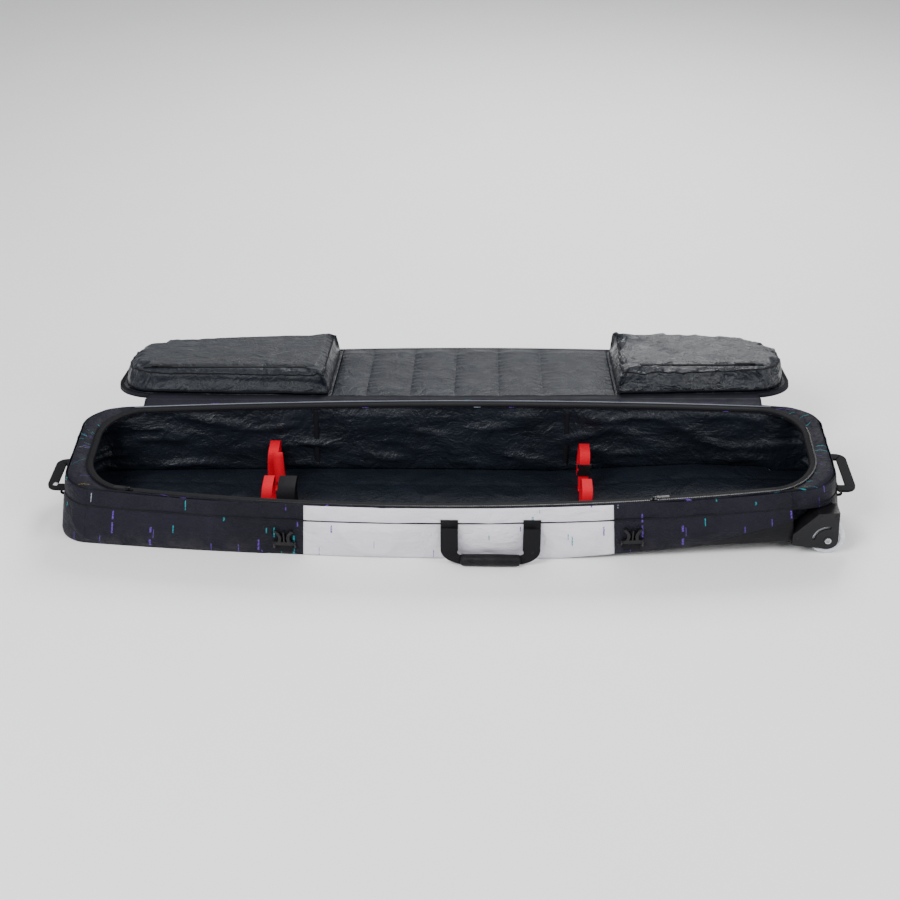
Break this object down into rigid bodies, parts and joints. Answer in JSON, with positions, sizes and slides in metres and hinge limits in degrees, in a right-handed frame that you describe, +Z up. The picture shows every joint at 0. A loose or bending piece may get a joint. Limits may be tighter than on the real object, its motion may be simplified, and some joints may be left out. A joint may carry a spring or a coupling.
{
  "type": "wheeled ski bag",
  "caption": "Long padded roller bag lying open: bowed tub with a hinged, quilted lid folded back, pouches, zip, inner straps, carry handles and end wheels.",
  "frame": {"origin": "on the floor under the middle of the tub, on the underside's flat rest face", "axes": "+X along the bag towards the wheels, +Y from the front wall towards the folded-back lid, +Z up"},
  "size_m": [1.9123, 0.8734, 0.2586],
  "materials": {
    "navy_fabric": "matte",
    "black_coated_fabric": "satin",
    "white_fabric": "satin",
    "slate_lining": "satin",
    "foam": "matte",
    "board": "matte",
    "black_webbing": "matte",
    "red_webbing": "matte",
    "grip_fabric": "matte",
    "zip_black": "satin",
    "black_plastic": "satin",
    "slider_metal": "satin",
    "clear_urethane": "satin",
    "white_plastic": "satin",
    "steel": "satin"
  },
  "bodies": {
    "tub": {"back_axle_bolt": "steel", "back_foam": "foam", "back_panel": "navy_fabric", "back_strap_left": "red_webbing", "back_strap_right": "red_webbing", "back_wheel_housing": "black_plastic", "base_board": "board", "black_strap": "black_webbing", "bottom_panel": "black_coated_fabric", "floor_pad": "slate_lining", "front_axle_bolt": "steel", "front_buckle_tab_left": "black_webbing", "front_buckle_tab_right": "black_webbing", "front_foam": "foam", "front_kick_panel": "black_coated_fabric", "front_panel_centre": "white_fabric", "front_panel_left": "navy_fabric", "front_panel_right": "navy_fabric", "front_strap_left": "red_webbing", "front_strap_right": "red_webbing", "front_wheel_housing": "black_plastic", "left_end_foam": "foam", "left_end_panel": "navy_fabric", "right_end_foam": "foam", "right_end_panel": "black_coated_fabric", "rim_deck": "navy_fabric", "seam_piping": "navy_fabric", "tub_zip": "zip_black", "wall_lining": "slate_lining"},
    "front_wheel": {"front_tyre": "clear_urethane", "front_wheel_core": "white_plastic", "front_wheel_bearings": "steel"},
    "back_wheel": {"back_tyre": "clear_urethane", "back_wheel_core": "white_plastic", "back_wheel_bearings": "steel"},
    "lid": {"lid_lining": "slate_lining", "lid_foam": "foam", "lid_outer_panel": "navy_fabric", "lid_zip": "zip_black", "left_pouch": "slate_lining", "right_pouch": "slate_lining", "lid_strap_left": "black_webbing", "lid_strap_right": "black_webbing", "lid_buckle_left": "black_plastic", "lid_buckle_right": "black_plastic"},
    "carry_handle": {"carry_webbing": "black_webbing", "carry_grip": "grip_fabric"},
    "left_handle_loop": {"left_handle": "black_webbing"},
    "right_handle_loop": {"right_handle": "black_webbing"},
    "zip_slider_left_body": {"zip_slider_left": "slider_metal"},
    "zip_slider_right_body": {"zip_slider_right": "slider_metal"},
    "zip_pull_left_body": {"zip_pull_left": "black_webbing"},
    "zip_pull_right_body": {"zip_pull_right": "black_webbing"},
    "left_pouch_slider_body": {"left_pouch_slider": "slider_metal"},
    "right_pouch_slider_body": {"right_pouch_slider": "slider_metal"},
    "front_buckle_left_body": {"front_buckle_left": "black_plastic"},
    "front_buckle_right_body": {"front_buckle_right": "black_plastic"},
    "strap_buckle_body": {"strap_buckle": "black_plastic"}
  },
  "joints": [
    {"name": "front_wheel_spin", "type": "hinge", "parent": "tub", "child": "front_wheel", "pos_m": [0.877, -0.16, 0.042], "axis": [0, 1, 0], "continuous": true},
    {"name": "back_wheel_spin", "type": "hinge", "parent": "tub", "child": "back_wheel", "pos_m": [0.877, 0.16, 0.042], "axis": [0, 1, 0], "continuous": true},
    {"name": "lid_fold", "type": "hinge", "parent": "tub", "child": "lid", "pos_m": [-0.00004, 0.19772, 0.19912], "axis": [0.9999, 0, 0.0122], "range_deg": [0, 195.3]},
    {"name": "carry_handle_swing", "type": "hinge", "parent": "tub", "child": "carry_handle", "pos_m": [0.0975, -0.236, 0.096], "axis": [-1, 0, 0], "range_deg": [0, 150]},
    {"name": "left_handle_swing", "type": "hinge", "parent": "tub", "child": "left_handle_loop", "pos_m": [-0.91625, 0, 0.088], "axis": [0, 1, 0], "range_deg": [-80, 80]},
    {"name": "right_handle_swing", "type": "hinge", "parent": "tub", "child": "right_handle_loop", "pos_m": [0.91205, 0, 0.116], "axis": [0, 1, 0], "range_deg": [-80, 80]},
    {"name": "zip_slider_left_travel", "type": "hinge", "parent": "tub", "child": "zip_slider_left_body", "pos_m": [-0.00533, 4.34078, 0.63223], "axis": [-0.0122, -0.1045, 0.9944], "range_deg": [0, 8.9]},
    {"name": "zip_pull_left_swing", "type": "hinge", "parent": "zip_slider_left_body", "child": "zip_pull_left_body", "pos_m": [-0.73459, -0.17349, 0.15767], "axis": [0.1586, 0.9817, 0.1051], "range_deg": [0, 165]},
    {"name": "zip_slider_right_travel", "type": "hinge", "parent": "tub", "child": "zip_slider_right_body", "pos_m": [-0.00533, 4.34078, 0.63223], "axis": [-0.0122, -0.1045, 0.9944], "range_deg": [-5.06, 3.4]},
    {"name": "zip_pull_right_swing", "type": "hinge", "parent": "zip_slider_right_body", "child": "zip_pull_right_body", "pos_m": [0.46537, -0.20885, 0.16861], "axis": [0.1024, -0.9894, -0.1027], "range_deg": [0, 165]},
    {"name": "left_pouch_slider_travel", "type": "slide", "parent": "lid", "child": "left_pouch_slider_body", "axis": [0.9999, 0, 0.0122], "range_m": [-0.02, 0.34]},
    {"name": "right_pouch_slider_travel", "type": "slide", "parent": "lid", "child": "right_pouch_slider_body", "axis": [0.9999, 0, 0.0122], "range_m": [-0.25, 0.02]},
    {"name": "front_buckle_left_swing", "type": "hinge", "parent": "tub", "child": "front_buckle_left_body", "pos_m": [-0.37817, -0.21342, 0.03763], "axis": [0.9983, -0.0578, 0], "range_deg": [0, 125]},
    {"name": "front_buckle_right_swing", "type": "hinge", "parent": "tub", "child": "front_buckle_right_body", "pos_m": [0.4232, -0.21237, 0.05249], "axis": [0.9977, 0.0678, 0], "range_deg": [0, 125]},
    {"name": "strap_buckle_travel", "type": "slide", "parent": "tub", "child": "strap_buckle_body", "axis": [0, 0, 1], "range_m": [-0.03, 0]}
  ]
}
